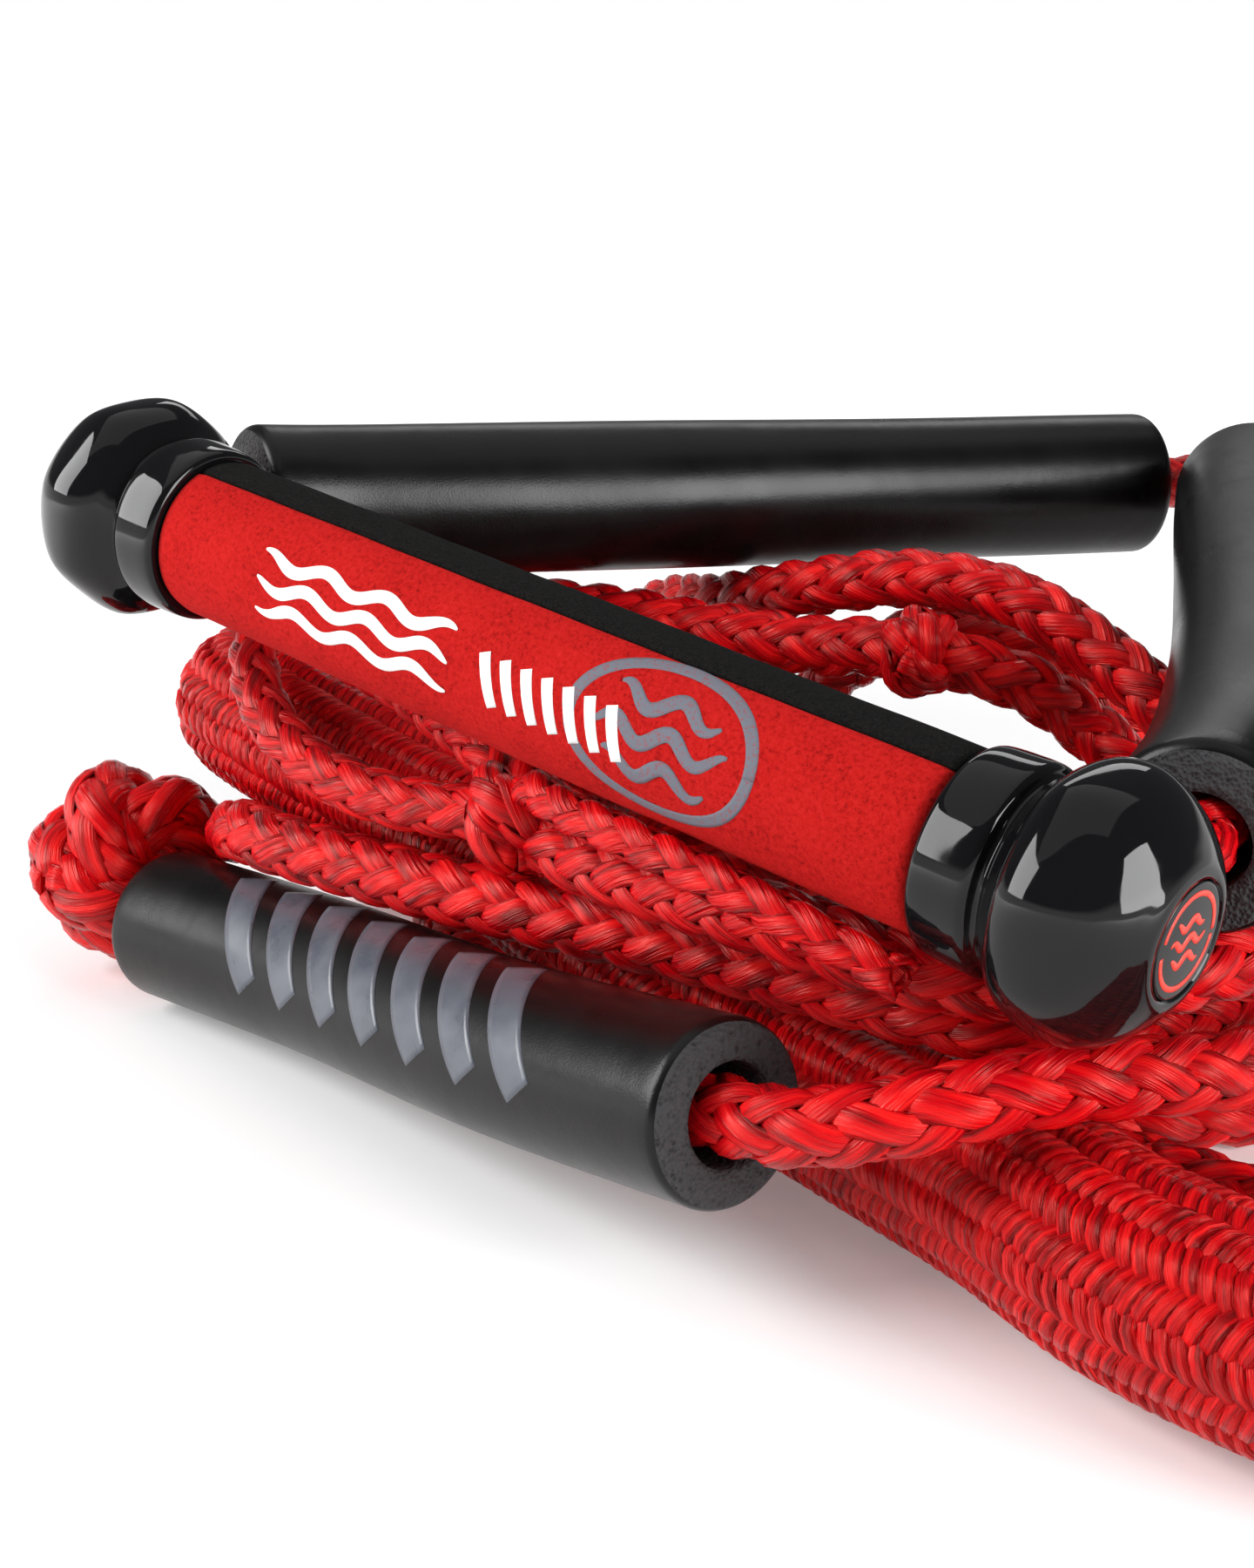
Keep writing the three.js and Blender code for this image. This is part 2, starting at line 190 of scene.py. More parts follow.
def make_sky():
    world = bpy.data.worlds.new("studio")
    bpy.context.scene.world = world
    world.use_nodes = True
    tree = world.node_tree
    direction = tree.nodes.new("ShaderNodeTexCoord").outputs["Generated"]
    height = tree.nodes.new("ShaderNodeSeparateXYZ")
    tree.links.new(direction, height.inputs[0])
    ramp = tree.nodes.new("ShaderNodeValToRGB")
    tree.links.new(height.outputs[2], ramp.inputs[0])
    for element, (position, color) in zip(ramp.color_ramp.elements, SKY):
        element.position, element.color = position, color
    tree.links.new(ramp.outputs[0], tree.nodes["Background"].inputs[0])
    tree.nodes["Background"].inputs[1].default_value = 1.0


def make_floor():
    mesh = bpy.data.meshes.new("floor")
    corners = [tuple(RIGHT * right - BACK * away) for right, away in FLOOR_CORNERS]
    mesh.from_pydata(corners, [], [(0, 1, 2, 3)])
    floor = bpy.data.objects.new("floor", mesh)
    bpy.context.scene.collection.objects.link(floor)
    mesh.materials.append(floor_material())


def make_studio():
    bpy.context.scene.view_settings.view_transform = "Standard"
    make_sky()
    for softbox in SOFTBOXES:
        make_softbox(*softbox)
    make_floor()


# --- materials ------------------------------------------------------------------------------------
def new_material(name, color, roughness, **sockets):
    material = bpy.data.materials.new(name)
    material.use_nodes = True
    shader = material.node_tree.nodes["Principled BSDF"]
    shader.inputs["Base Color"].default_value = (*color, 1)
    shader.inputs["Roughness"].default_value = roughness
    for key, value in sockets.items():
        shader.inputs[key.replace("_", " ")].default_value = value
    return material


class Nodes:
    """Short calls for building a material's node tree."""

    def __init__(self, material):
        self.tree = material.node_tree
        self.shader = self.tree.nodes["Principled BSDF"]

    def add(self, kind, inputs=None, **settings):
        node = self.tree.nodes.new("ShaderNode" + kind)
        for key, value in settings.items():
            setattr(node, key, value)
        for key, value in (inputs or {}).items():
            if isinstance(value, bpy.types.NodeSocket):
                self.tree.links.new(value, node.inputs[key])
            else:
                node.inputs[key].default_value = value
        return node

    def coordinates(self, scale, kind="Object"):
        where = self.add("TexCoord").outputs[kind]
        return self.add("Mapping", {"Vector": where, "Scale": scale}).outputs["Vector"]

    def noise(self, vector, scale=1.0, detail=2.0, roughness=0.5):
        inputs = {"Vector": vector, "Scale": scale, "Detail": detail, "Roughness": roughness}
        return self.add("TexNoise", inputs).outputs["Fac"]

    def ramp(self, factor, stops):
        node = self.add("ValToRGB", {"Fac": factor})
        elements = node.color_ramp.elements
        while len(elements) < len(stops):
            elements.new(0.5)
        for element, (position, color) in zip(elements, stops):
            element.position, element.color = position, (*color, 1)
        return node.outputs["Color"]

    def spread(self, factor, low, high, start=0.0, end=1.0):
        inputs = {"Value": factor, "From Min": start, "From Max": end, "To Min": low, "To Max": high}
        return self.add("MapRange", inputs).outputs["Result"]

    def bump(self, height, strength, distance, below=None):
        inputs = {"Height": height, "Strength": strength, "Distance": distance}
        if below is not None:
            inputs["Normal"] = below
        return self.add("Bump", inputs).outputs["Normal"]

    def to(self, socket, value):
        self.tree.links.new(value, self.shader.inputs[socket])


def floor_material():
    """Pale paint that glows more with distance, so that the floor fades to white behind the object."""
    material = new_material(
        "floor_paint", (0.86, 0.86, 0.86), 0.8, Specular_IOR_Level=0.2, Emission_Color=(1, 1, 1, 1),
    )
    n = Nodes(material)
    away = n.add("VectorMath", {0: n.coordinates((1, 1, 1))}, operation="LENGTH").outputs["Value"]
    n.to("Emission Strength", n.spread(away, 0.16, 0.95, 0.25, 1.2))
    n.to("Roughness", n.spread(n.noise(n.coordinates((3, 3, 3))), 0.75, 0.9))
    return material


def rope_material(name, dark, mid, light, roughness=0.26):
    """Glossy plastic filaments: U runs across a strand and V along it, in metres."""
    material = new_material(
        name, mid, roughness, Specular_IOR_Level=0.58, Specular_Tint=(1, 0.33, 0.28, 1),
    )
    n = Nodes(material)
    fine = n.noise(n.coordinates((17, 26, 1), "UV"), 1.0, 3.0, 0.75)
    band = n.noise(n.coordinates((7, 90, 1), "UV"), 1.0, 1.0)
    shade = n.add("Math", {0: fine, 1: band}, operation="ADD").outputs[0]
    shade = n.spread(shade, 0, 1, 0.74, 1.28)
    n.to("Base Color", n.ramp(shade, [(0.0, dark), (0.5, mid), (1.0, light)]))
    n.to("Roughness", n.spread(fine, roughness - 0.08, roughness + 0.14, 0.3, 0.7))
    n.to("Normal", n.bump(fine, 1.0, 0.0008))
    return material


def foam_skin_material():
    material = new_material("foam_skin", (0.008, 0.008, 0.008), 0.3, Specular_IOR_Level=0.27)
    n = Nodes(material)
    where = n.coordinates((1, 1, 1))
    cloud = n.noise(where, 60, 3)
    grain = n.noise(where, 2600, 2)
    n.to("Base Color", n.ramp(cloud, [(0.3, (0.002, 0.002, 0.002)), (0.7, (0.004, 0.004, 0.004))]))
    n.to("Roughness", n.spread(cloud, 0.26, 0.34, 0.3, 0.7))
    n.to("Normal", n.bump(grain, 0.25, 0.00012, n.bump(cloud, 0.35, 0.0006)))
    return material


def foam_cut_material():
    """The cut end and bore of a foam tube: open pores."""
    material = new_material("foam_cut", (0.02, 0.02, 0.021), 0.9)
    n = Nodes(material)
    where = n.coordinates((1, 1, 1))
    pores = n.add("TexVoronoi", {"Vector": where, "Scale": 1300}).outputs["Distance"]
    large = n.add("TexVoronoi", {"Vector": where, "Scale": 520}).outputs["Distance"]
    height = n.add("Math", {0: pores, 1: large}, operation="ADD").outputs[0]
    # The colour is darker down in the pores than on the walls between them: painted shade in the pore hollows.
    n.to("Base Color", n.ramp(height, [(0.25, (0.003, 0.003, 0.003)), (0.9, (0.035, 0.035, 0.037))]))
    n.to("Normal", n.bump(height, 0.9, 0.0007))
    return material


def microfibre_material():
    material = new_material("grip_microfibre", (0.62, 0.02, 0.015), 0.88, Specular_IOR_Level=0.08)
    n = Nodes(material)
    where = n.coordinates((1, 1, 1))
    nap = n.noise(where, 1300, 5, 0.8)
    cloud = n.noise(where, 90, 2)
    shade = n.add("Math", {0: nap, 1: n.spread(cloud, -0.08, 0.08)}, operation="ADD").outputs[0]
    stops = [(0.33, (0.19, 0.003, 0.003)), (0.47, (0.42, 0.007, 0.006)), (0.66, (0.50, 0.014, 0.012))]
    n.to("Base Color", n.ramp(shade, stops))
    n.to("Normal", n.bump(nap, 0.6, 0.0004))
    return material


def strip_material():
    material = new_material("grip_foam_rubber", (0.008, 0.008, 0.008), 0.95, Specular_IOR_Level=0.08)
    n = Nodes(material)
    where = n.coordinates((1, 1, 1))
    pores = n.noise(where, 1900, 4, 0.75)
    n.to("Base Color", n.ramp(pores, [(0.35, (0.002, 0.002, 0.002)), (0.7, (0.016, 0.015, 0.014))]))
    n.to("Normal", n.bump(pores, 0.8, 0.0005))
    return material


def print_material(name, ink, show_through, cover):
    """Screen print on the nap: the cloth's colour shows through where the ink is thin."""
    material = new_material(name, ink, 0.8)
    n = Nodes(material)
    where = n.coordinates((1, 1, 1))
    speck = n.noise(where, 1700, 4, 0.7)
    stops = [(cover - 0.1, show_through), (cover + 0.02, ink)]
    n.to("Base Color", n.ramp(speck, stops))
    n.to("Normal", n.bump(speck, 0.4, 0.0003))
    return material


def stripe_material():
    material = new_material("float_print", (0.09, 0.10, 0.125), 0.3, Coat_Weight=0.1, Coat_Roughness=0.2)
    n = Nodes(material)
    where = n.coordinates((1, 1, 1))
    wear = n.noise(where, 140, 3)
    n.to("Base Color", n.ramp(wear, [(0.3, (0.07, 0.08, 0.10)), (0.7, (0.11, 0.12, 0.145))]))
    n.to("Roughness", n.spread(wear, 0.24, 0.4, 0.3, 0.7))
    n.to("Normal", n.bump(n.noise(where, 420, 2), 0.12, 0.0003))
    return material


def cap_material():
    material = new_material("cap_gloss", (0.004, 0.004, 0.0045), 0.045, Specular_IOR_Level=0.33)
    n = Nodes(material)
    where = n.coordinates((1, 1, 1))
    n.to("Roughness", n.spread(n.noise(where, 220, 3), 0.03, 0.09, 0.35, 0.75))
    n.to("Normal", n.bump(n.noise(where, 38, 1), 0.1, 0.0012))
    return material


def moulded_material(name, color, roughness, metallic=0.0):
    material = new_material(name, color, roughness, Metallic=metallic)
    n = Nodes(material)
    where = n.coordinates((1, 1, 1))
    grain = n.noise(where, 900, 3)
    n.to("Roughness", n.spread(grain, roughness - 0.06, roughness + 0.1, 0.3, 0.7))
    n.to("Normal", n.bump(grain, 0.3, 0.0002))
    return material


# --- mesh helpers ---------------------------------------------------------------------------------
def tube_faces(rings, around, first):
    """Quads of a closed tube of vertex rings, and the two end rings, as vertex numbers from first."""
    i, j = np.meshgrid(np.arange(rings - 1), np.arange(around), indexing="ij")
    i, j = i.ravel(), j.ravel()
    k = (j + 1) % around
    quads = np.stack([i * around + j, i * around + k, (i + 1) * around + k, (i + 1) * around + j], 1) + first
    ends = [first + np.arange(around)[::-1], first + (rings - 1) * around + np.arange(around)]
    return quads, ends, i, j


def make_object(name, tubes, material, body):
    """One object from closed tubes. Each tube is (rings, u, v): vertices (M, m, 3) in mm, u at the m +
    1 edges of a ring and v at the M rings."""
    verts, quads, uvs, ngons, first = [], [], [], [], 0
    for rings, u, v in tubes:
        count, around = rings.shape[:2]
        q, ends, i, j = tube_faces(count, around, first)
        verts.append(rings.reshape(-1, 3))
        quads.append(q)
        corner = [(u[j], v[i]), (u[j + 1], v[i]), (u[j + 1], v[i + 1]), (u[j], v[i + 1])]
        uvs.append(np.stack([np.stack(c, 1) for c in corner], 1).reshape(-1, 2))
        ngons += ends
        first += count * around
    verts = place(np.concatenate(verts))
    quads = np.concatenate(quads)
    loops = np.concatenate([quads.ravel()] + ngons)
    totals = np.concatenate([np.full(len(quads), 4), [len(g) for g in ngons]]).astype(int)
    starts = np.concatenate([[0], np.cumsum(totals)[:-1]])
    mesh = bpy.data.meshes.new(name)
    mesh.vertices.add(len(verts))
    mesh.vertices.foreach_set("co", verts.ravel())
    mesh.loops.add(len(loops))
    mesh.loops.foreach_set("vertex_index", loops.astype(np.int32))
    mesh.polygons.add(len(totals))
    mesh.polygons.foreach_set("loop_start", starts.astype(np.int32))
    mesh.polygons.foreach_set("loop_total", totals.astype(np.int32))
    mesh.update(calc_edges=True)
    layer = mesh.uv_layers.new(name="strand")
    flat = np.zeros((len(loops), 2))
    corners = np.concatenate(uvs)
    flat[: len(corners)] = corners
    layer.data.foreach_set("uv", flat.ravel())
    mesh.polygons.foreach_set("use_smooth", [True] * len(totals))
    mesh.materials.append(material)
    mesh.validate()
    made = bpy.data.objects.new(name, mesh)
    bpy.context.scene.collection.objects.link(made)
    if body:
        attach(made, body)
    return made


def spline(points, per_span=24):
    """The centripetal Catmull-Rom curve through points, finely sampled: the same curve that the CAD uses."""
    p = [np.array(q, float) for q in points]
    p = [2 * p[0] - p[1]] + p + [2 * p[-1] - p[-2]]
    out = []
    for a, b, c, d in zip(p, p[1:], p[2:], p[3:]):
        t1 = np.linalg.norm(b - a) ** 0.5
        t2 = t1 + np.linalg.norm(c - b) ** 0.5
        t3 = t2 + np.linalg.norm(d - c) ** 0.5
        t = np.linspace(t1, t2, per_span, endpoint=False)[:, None]
        a1 = (t1 - t) / t1 * a + t / t1 * b
        a2 = (t2 - t) / (t2 - t1) * b + (t - t1) / (t2 - t1) * c
        a3 = (t3 - t) / (t3 - t2) * c + (t - t2) / (t3 - t2) * d
        b1 = (t2 - t) / t2 * a1 + t / t2 * a2
        b2 = (t3 - t) / (t3 - t1) * a2 + (t - t1) / (t3 - t1) * a3
        out.append((t2 - t) / (t2 - t1) * b1 + (t - t1) / (t2 - t1) * b2)
    return np.concatenate(out + [p[-2][None]])


class Line:
    """A centre line with a frame that doesn't twist, read at any arc length s."""

    def __init__(self, fine, step=1.0):
        along = np.concatenate([[0], np.cumsum(np.linalg.norm(np.diff(fine, axis=0), axis=1))])
        self.length = along[-1]
        self.s = np.linspace(0, self.length, max(8, int(self.length / step)))
        self.points = np.stack([np.interp(self.s, along, fine[:, k]) for k in range(3)], 1)
        tangent = unit(np.gradient(self.points, axis=0))
        normal = np.array([0.02, 0.05, 1.0])  # about upwards, and never along a line's first stretch
        normals = []
        for t in tangent:
            normal = normal - normal.dot(t) * t
            normal = normal / np.linalg.norm(normal)
            normals.append(normal)
        self.tangents, self.normals = tangent, np.array(normals)

    def nearest(self, point):
        """The arc length at which the line comes nearest to a point."""
        return self.s[np.argmin(np.linalg.norm(self.points - np.array(point), axis=1))]

    def at(self, s):
        """The point, tangent, normal and side direction at each arc length in s."""

        def read(table):
            return np.stack([np.interp(s, self.s, table[:, k]) for k in range(3)], 1)

        point, tangent, normal = read(self.points), unit(read(self.tangents)), read(self.normals)
        normal = unit(normal - (normal * tangent).sum(1, keepdims=True) * tangent)
        return point, tangent, normal, np.cross(tangent, normal)


def plait(
    line, radius, s0=0.0, s1=None, pairs=6, lay=4.7, thick=2.2, lift=1.0, step=1.9, around=10, fill=1.34
):
    """The strands of a round two-over-two-under plait along a line, from s0 to s1.

    radius is a number or a function of s, pairs the strands each way, lay the rope diameters of one turn,
    thick a strand's thickness and lift how far it rises and falls. A strand has a ring of around vertices
    each step mm, and fill is its width as a share of the room that it has.
    """
    s1 = line.length if s1 is None else s1
    s = np.linspace(s0, s1, max(6, int((s1 - s0) / step)))
    centre, _, normal, side = line.at(s)
    outer = np.full(len(s), float(radius)) if np.isscalar(radius) else radius(s)
    size = outer / outer.max()
    middle = outer - (thick / 2 + lift) * size
    pitch = 2 * lay * outer.max()
    slope = 2 * math.pi * middle / pitch
    cosine = 1 / np.sqrt(1 + slope**2)
    width = 2 * math.pi * middle / pairs * cosine * fill
    angle = 2 * math.pi * np.arange(around) / around
    tubes = []
    for turn in (1, -1):
        for k in range(pairs):
            theta = 2 * math.pi * (k / pairs + turn * s / pitch)
            wave = np.tanh(1.5 * np.cos((theta - 0.5 * math.pi / pairs) * pairs / 2)) / math.tanh(1.5)
            rho = middle + turn * lift * size * wave
            radial = np.cos(theta)[:, None] * normal + np.sin(theta)[:, None] * side
            path = centre + rho[:, None] * radial
            across = unit(np.cross(unit(np.gradient(path, axis=0)), radial))
            x = width[:, None] / 2 * np.cos(angle)[None]
            lens = np.sin(angle) * np.abs(np.sin(angle)) ** 0.8
            y = (thick / 2 * size)[:, None] * lens[None] - x**2 * (cosine**2 / rho / 2)[:, None]
            rings = path[:, None] + x[..., None] * across[:, None] + y[..., None] * radial[:, None]
            u = (k + pairs * (turn > 0)) * 3.7 + np.arange(around + 1) / around
            tubes.append((rings, u, s / 1000 / cosine.mean()))
    return tubes


def rope(name, points, node, body="rope_pile", radius=ROPE_R, **kwargs):
    """A plaited rope through points, which stands for a CAD node. Returns it and its line."""
    line = Line(spline(points))
    made = make_object(name, plait(line, radius, **kwargs), RED_ROPE, body)
    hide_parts(node)
    return made, line


def declare(made, line, far_end, lay="loose", s0=0.0, s1=None):
    """Reads points along a line from s0 to s1 in the row frame, and keeps none of them."""
    s1 = line.length if s1 is None else s1
    path = place(line.at(np.linspace(s0, s1, max(12, int((s1 - s0) / 6))))[0])
    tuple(path[0])


# --- foam and print -------------------------------------------------------------------------------
FOAM_SIDES = 72  # vertices round a foam tube
FACE_SHARES = (0.25, 0.5, 0.75)  # the rings on a tube's flat end, from the bore to the rounded edge
EDGE_RINGS = 7  # the rings round that edge


def foam_tube(name, points, outer, bore, node, body, uneven=1.0, edge=2.5):
    """A foam tube with rounded cut ends: its rings run along the outside and back in the bore."""
    line = Line(spline(points))
    turn = np.linspace(0, math.pi / 2, EDGE_RINGS)
    start = [(edge - edge * math.sin(a), outer - edge + edge * math.cos(a)) for a in turn[::-1]]
    start = [(0.0, bore + (outer - edge - bore) * f) for f in FACE_SHARES] + start
    count = int(line.length / 3)
    skin_from = len(FACE_SHARES) + EDGE_RINGS // 2
    skin = range(skin_from, skin_from + count + EDGE_RINGS + 1)  # it ends about half way round each edge
    body_part = [(s, outer) for s in np.linspace(edge + 2, line.length - edge - 2, count)]
    profile = [(0.0, bore)] + start + body_part + [(line.length - s, r) for s, r in start[::-1]]
    profile += [(line.length, bore)]
    inside = [(s, bore) for s in np.linspace(line.length - 3, 3, 24)]
    profile = profile + inside + [(0.0, bore)]
    s = np.array([p[0] for p in profile])
    r = np.array([p[1] for p in profile])
    centre, _, normal, side = line.at(s)
    angle = 2 * math.pi * np.arange(FOAM_SIDES) / FOAM_SIDES
    dent = 0.10 * np.sin(3 * angle[None] + s[:, None] / 31)
    dent = dent + 0.08 * np.sin(2 * angle[None] - s[:, None] / 17 + 1)
    radius = r[:, None] + uneven * dent * (r > bore + 0.5)[:, None]
    circle = np.cos(angle)[None, :, None] * normal[:, None] + np.sin(angle)[None, :, None] * side[:, None]
    rings = centre[:, None] + radius[..., None] * circle
    made = shell_with_hole(name, rings, skin, body)
    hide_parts(node)
    return made, line


def shell_with_hole(name, rings, skin, body):
    """Closes a ring list whose last ring is its first. The faces of the rings in skin get the foam's skin,
    and the others its cut face."""
    rings = rings[:-1]
    total, sides = rings.shape[:2]
    verts = place(rings.reshape(-1, 3))
    faces, cut = [], []
    for i in range(total):
        k = (i + 1) % total
        for j in range(sides):
            m = (j + 1) % sides
            faces.append((i * sides + j, k * sides + j, k * sides + m, i * sides + m))
            cut.append(0 if i in skin else 1)
    mesh = bpy.data.meshes.new(name)
    mesh.from_pydata(verts.tolist(), [], faces)
    mesh.polygons.foreach_set("use_smooth", [True] * len(faces))
    mesh.materials.append(FOAM_SKIN)
    mesh.materials.append(FOAM_CUT)
    mesh.polygons.foreach_set("material_index", cut)
    made = bpy.data.objects.new(name, mesh)
    bpy.context.scene.collection.objects.link(made)
    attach(made, body)
    return made


def strip_on(surface, path, widths, lift, depth=0.12, across=5):
    """A thin closed strip of print on a surface: path is (a, b) in the surface's own flat coordinates, mm,
    and surface(a, b, height) gives the point in space. lift is the height of its top."""
    path = np.array(path, float)
    tangent = unit(np.gradient(path, axis=0))
    sideways = np.stack([-tangent[:, 1], tangent[:, 0]], 1)
    widths = np.broadcast_to(np.asarray(widths, float), len(path))
    rings = []
    for centre, away, w in zip(path, sideways, widths):
        row = [centre + away * w * (f - 0.5) for f in np.linspace(0, 1, across)]
        rings.append([surface(*q, lift) for q in row] + [surface(*q, lift - depth) for q in row[::-1]])
    rings = np.array(rings)
    return rings, np.linspace(0, 1, 2 * across + 1), np.linspace(0, 1, len(path))


# --- handle ---------------------------------------------------------------------------------------
BAR_AXIS = np.array([math.cos(BAR_TILT), 0, -math.sin(BAR_TILT)])
BAR_TOP = np.array([math.sin(BAR_TILT), 0, math.cos(BAR_TILT)])
BAR_BACK = np.array([0.0, 1.0, 0.0])


def on_bar(along, angle, radius):
    """A point about the bar: angle in degrees from its top, positive towards the apex."""
    a = np.radians(angle)
    return BAR_CENTRE + along * BAR_AXIS + radius * (np.cos(a) * BAR_TOP + np.sin(a) * BAR_BACK)


def cover_sector(name, start, end, material, slot, node, crown):
    """One sheet of the grip's cover between two angles, with its long edges rolled in. crown lifts it, mm."""
    inner, step, roll = GRIP_R - COVER, 1.6, 3.2  # step and roll are degrees
    angles = np.linspace(start, end, int((end - start) / step))
    edge = np.minimum(angles - start, end - angles)
    drop = COVER * 0.55 * (1 - np.minimum(edge / roll, 1)) ** 2
    rings = []
    for along in np.linspace(-GRIP_LENGTH / 2 + 0.3, GRIP_LENGTH / 2 - 0.3, 90):
        wave = 0.05 * math.sin(along / 9.0) + 0.04 * math.sin(along / 3.7 + 1)
        near_end = GRIP_LENGTH / 2 - abs(along)
        tuck = 0.5 * max(0.0, 1 - near_end / 2.5) ** 2
        outer = [on_bar(along, a, GRIP_R + crown + wave - d - tuck) for a, d in zip(angles, drop)]
        rings.append(outer + [on_bar(along, a, inner) for a in angles[::-1][::4]])
    rings = np.array(rings)
    u, v = np.linspace(0, 1, rings.shape[1] + 1), np.linspace(0, 1, len(rings))
    made = make_object(name, [(rings[:, ::-1], u, v)], material, "handle")
    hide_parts(node)


def grip_surface(along, arc, height):
    """Flat print coordinates to the grip: arc is the length around the bar from its top, towards the apex."""
    return on_bar(along, math.degrees(arc / GRIP_R), GRIP_R + height)


def three_waves(halves, points, rise, rate, phase, spacing, width, thinnest, extra):
    """Three wavy lines, one above the other, thin at their ends, as (x, y) points and widths, mm."""
    lines = []
    for i, half in enumerate(halves):
        x = np.linspace(-half, half, points)
        y = rise * np.sin(x * rate + phase) + (1 - i) * spacing
        widths = width * np.sqrt(np.maximum(1 - (x / half) ** 2, thinnest)) + extra
        lines.append((x, y, widths))
    return lines


PRINT_LIFT = 0.14  # the white print stands above the grey
EMBLEM_LIFT = 0.07


def make_white_print():
    """Three long waves and seven bars on the front of the grip."""
    strips = []
    start, stop, middle = -57, -9, math.radians(-81) * GRIP_R
    for i in range(3):
        along = np.linspace(start, stop, 80)
        arcs = middle + (1 - i) * 4.6 + 1.1 * np.sin((along + 3 * i) * 0.42)
        to_end = np.minimum(along - start, stop - along) + 0.2
        width = 2.3 * np.minimum(1, np.sqrt(to_end / 7))
        strips.append(strip_on(grip_surface, np.stack([along, arcs], 1), width, PRINT_LIFT))
    top, bottom, bar_pitch, bar_width = -67.0, -99.5, 4.66, 2.25
    for i in range(7):
        first = -2.2 + bar_pitch * i
        arcs = np.radians(np.linspace(top, bottom, 10)) * GRIP_R
        along = np.linspace(first + 0.6, first + 4.2 - 0.1 * i, 10)
        strips.append(strip_on(grip_surface, np.stack([along, arcs], 1), bar_width, PRINT_LIFT))
    ink = print_material("print_white", (0.86, 0.86, 0.84), (0.55, 0.25, 0.22), 0.36)
    make_object("grip_bars", strips, ink, "handle")


def make_grey_emblem():
    """An oval ring round three waves, at the grip's right end."""
    centre = np.array([36.5, math.radians(-76.5) * GRIP_R])
    turn = np.linspace(0, 2 * math.pi, 97)
    ring = centre + np.stack([18.2 * np.cos(turn), 12.6 * np.sin(turn)], 1)
    strips = [strip_on(grip_surface, half, 2.2, EMBLEM_LIFT) for half in (ring[:49], ring[48:])]
    for x, y, widths in three_waves((10.5, 13.5, 10.5), 48, 1.6, 0.55, 0.4, 5.6, 2.3, 0.02, 0.25):
        strips.append(strip_on(grip_surface, centre + np.stack([x, y], 1), widths, EMBLEM_LIFT))
    ink = print_material("print_grey", (0.12, 0.13, 0.16), (0.25, 0.05, 0.06), 0.45)
    make_object("grip_emblem", strips, ink, "handle")


def make_grip():
    """The cover, the strip along its top, the prints and the foam layer under them."""
    gap = 0.4  # degrees on each side of the seam between cover and strip
    red = (STRIP_TO + gap, 360 + STRIP_FROM - gap)
    black = (STRIP_FROM + gap, STRIP_TO - gap)
    cover_sector("grip_cover", *red, microfibre_material(), "grip_red", "grip_wrap", 0.0)
    cover_sector("grip_top_strip", *black, strip_material(), "grip_black", "grip_strip", 0.05)
    make_white_print()
    make_grey_emblem()
    ends = [on_bar(GRIP_LENGTH / 2 * f - 1.0 * np.sign(f), 0, 0) for f in (-1, -0.3, 0.3, 1)]
    outer, bore = GRIP_R - COVER - 0.15, 11.3
    foam_tube("grip_base_layer", ends, outer, bore, "grip_core", "handle", 0.2, 0.8)


# The cap's half section, as (distance from the grip's end, radius): the bore for the tube, the collar, the
# groove, the ball, and the flat end with its recess for the badge.
CAP_OUTLINE = [
    (9.3, 0.02), (9.3, 11.3), (0.3, 11.3), (0.3, 15.3),
    (0.45, 15.9), (1.1, 16.45), (2.4, 16.7), (5.5, 16.85), (9.0, 16.9), (10.1, 16.75), (10.9, 16.2),
    (11.4, 15.5), (11.9, 15.15), (12.5, 15.3), (13.2, 15.95), (14.4, 17.2), (15.8, 18.9), (17.6, 20.3),
    (19.8, 21.2), (22.2, 21.5), (24.8, 21.3), (27.2, 20.6), (29.4, 19.5), (31.5, 18.0), (33.3, 16.2),
    (34.8, 14.4), (35.9, 12.8), (36.6, 11.7), (37.05, 10.8), (CAP_LENGTH, 10.0),
    (CAP_LENGTH, 9.3), (36.4, 9.25), (36.4, 0.02),
]
ROUNDED = slice(4, 30)  # the outline's points from the collar's edge to the flat end, all on one curve
CAP_SIDES = 120
NECK, END_HOLE_R = 12, 9.4  # the ball lies past the neck, and outside the recess in its flat end
BALL_MIDDLE, BALL_FADE = 24, 8.5  # where the ball's soft facets are deepest, and how fast they fade
# The rope's bore, as (distance from the bar's axis towards the apex, radius): a wide well and a flared mouth.
CAP_BORE = [
    (-11.6, 0.5), (-11.6, 8.9), (-2.0, 8.9), (-1.9, 7.4), (8, 8.4), (15.5, 9.2), (18.5, 10.6), (21.5, 13.5),
]


def refined_outline():
    """The cap's outline with three times the points where it is rounded."""
    outline = np.array(CAP_OUTLINE)
    rounded = outline[ROUNDED]
    curve = spline(np.column_stack([rounded, np.zeros(len(rounded))]), 3)[:, :2]
    return np.concatenate([outline[: ROUNDED.start], curve, outline[ROUNDED.stop :]])


def cap_hole(side):
    """Where the rope's bore meets the bar's axis in the cap on one side, -1 or 1."""
    return on_bar(side * (GRIP_LENGTH / 2 + CAP_HOLE_AT), 0, 0)


